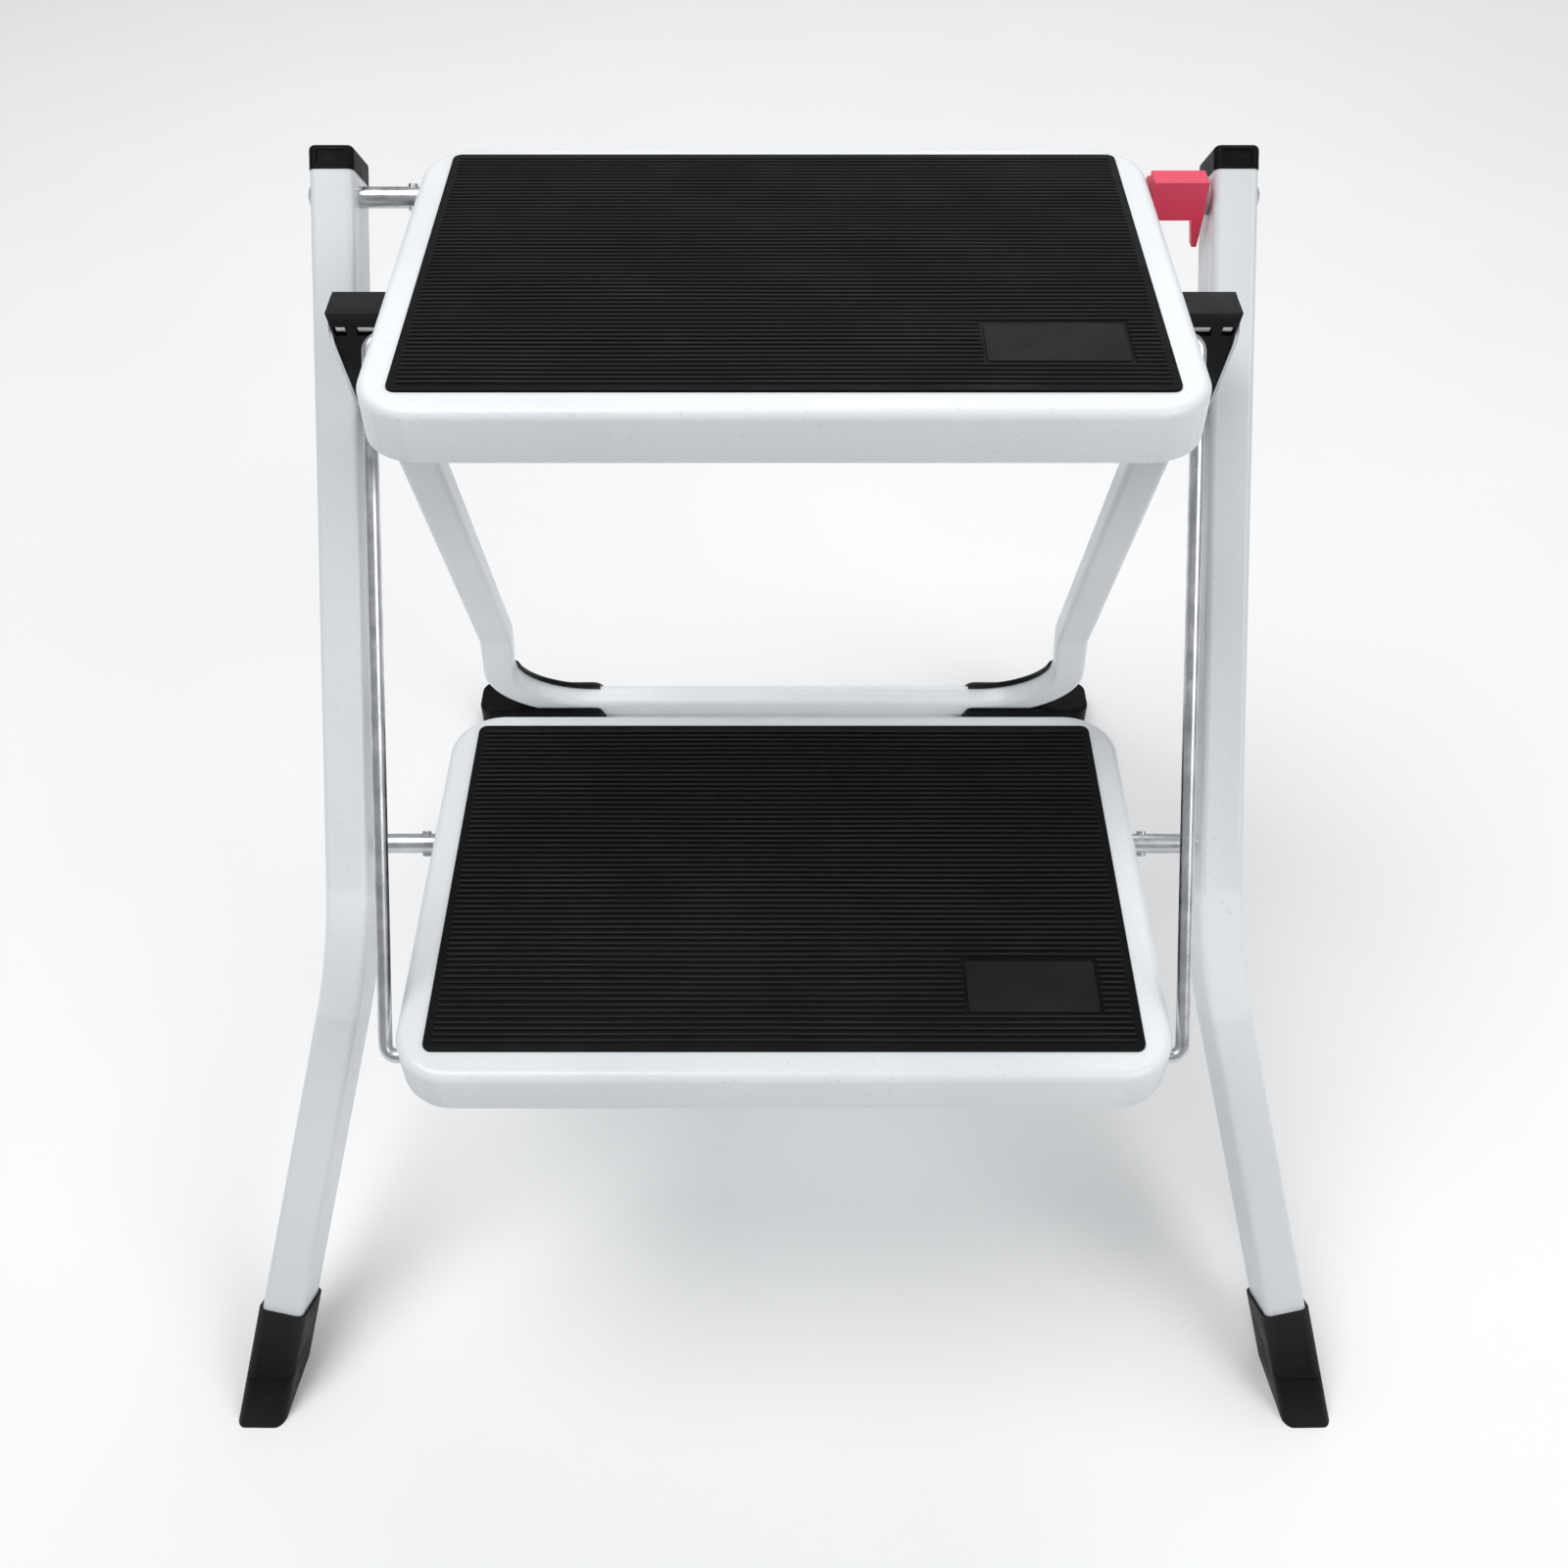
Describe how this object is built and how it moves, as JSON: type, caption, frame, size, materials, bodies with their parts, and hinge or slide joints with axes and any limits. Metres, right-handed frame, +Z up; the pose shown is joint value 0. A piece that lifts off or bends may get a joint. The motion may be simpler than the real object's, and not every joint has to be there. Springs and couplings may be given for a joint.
{
  "type": "step stool",
  "caption": "Folding two-tread step stool with tubular legs, parallelogram link rods, ribbed rubber mats and a catch on the top axle.",
  "frame": {"origin": "on the floor, at the centre of the open stool's footprint box", "axes": "+Z up, +Y to the rear, away from the user who climbs towards it, +X to the user's right; the left and right frames mirror across the YZ plane"},
  "size_m": [0.5386, 0.5173, 0.4606],
  "materials": {
    "white_paint": "smooth semi-gloss powder coat",
    "black_plastic": "moulded, satin",
    "mat_rubber": "ribbed across, matte",
    "zinc": "bright zinc plate, slightly uneven",
    "chromed_rod": "bright",
    "nylon": "natural nylon",
    "red_plastic": "moulded, fine texture"
  },
  "bodies": {
    "front_frame": {"front_leg_left": "white_paint", "front_leg_right": "white_paint", "leg_cap_left": "black_plastic", "leg_cap_right": "black_plastic", "foot_boot_left": "black_plastic", "foot_boot_right": "black_plastic", "top_axle": "zinc", "lower_axle": "zinc", "latch_washer": "nylon"},
    "top_step": {"top_step_tray": "white_paint", "top_step_mat": "mat_rubber", "top_step_brackets": "white_paint", "top_axle_bushes": "nylon", "rear_hinge_rod": "chromed_rod"},
    "lower_step": {"lower_step_tray": "white_paint", "lower_step_mat": "mat_rubber", "lower_axle_bushes": "nylon"},
    "step_links": {"link_rod_left": "zinc", "link_rod_right": "zinc", "link_push_nuts": "zinc"},
    "rear_frame": {"rear_tube": "white_paint", "rear_shoe_left": "black_plastic", "rear_shoe_right": "black_plastic", "hinge_block_left": "black_plastic", "hinge_block_right": "black_plastic", "hinge_plate_left": "zinc", "hinge_plate_right": "zinc", "hinge_plate_rivets": "zinc"},
    "latch": {"latch_grip": "red_plastic", "latch_spring": "zinc"}
  },
  "joints": [
    {"name": "step_fold", "type": "hinge", "parent": "front_frame", "child": "top_step", "pos_m": [0, 0.136, 0.438], "axis": [1, 0, 0], "range_deg": [0, 43]},
    {"name": "lower_step_fold", "type": "hinge", "parent": "front_frame", "child": "lower_step", "pos_m": [0, -0.063, 0.214], "axis": [1, 0, 0], "range_deg": [0, 43]},
    {"name": "link_swing", "type": "hinge", "parent": "top_step", "child": "step_links", "pos_m": [0, 0.016, 0.438], "axis": [1, 0, 0], "range_deg": [-43, 0]},
    {"name": "rear_frame_fold", "type": "hinge", "parent": "top_step", "child": "rear_frame", "pos_m": [0, 0.0545, 0.422], "axis": [-1, 0, 0], "range_deg": [0, 107.07]},
    {"name": "catch_press", "type": "hinge", "parent": "front_frame", "child": "latch", "pos_m": [0.17925, 0.136, 0.438], "axis": [-1, 0, 0], "range_deg": [0, 18]}
  ],
  "couplings": [
    {"joint": "lower_step_fold", "follows": "step_fold", "ratio": 1},
    {"joint": "link_swing", "follows": "step_fold", "ratio": -1},
    {"joint": "rear_frame_fold", "follows": "step_fold", "ratio": 2.49}
  ]
}
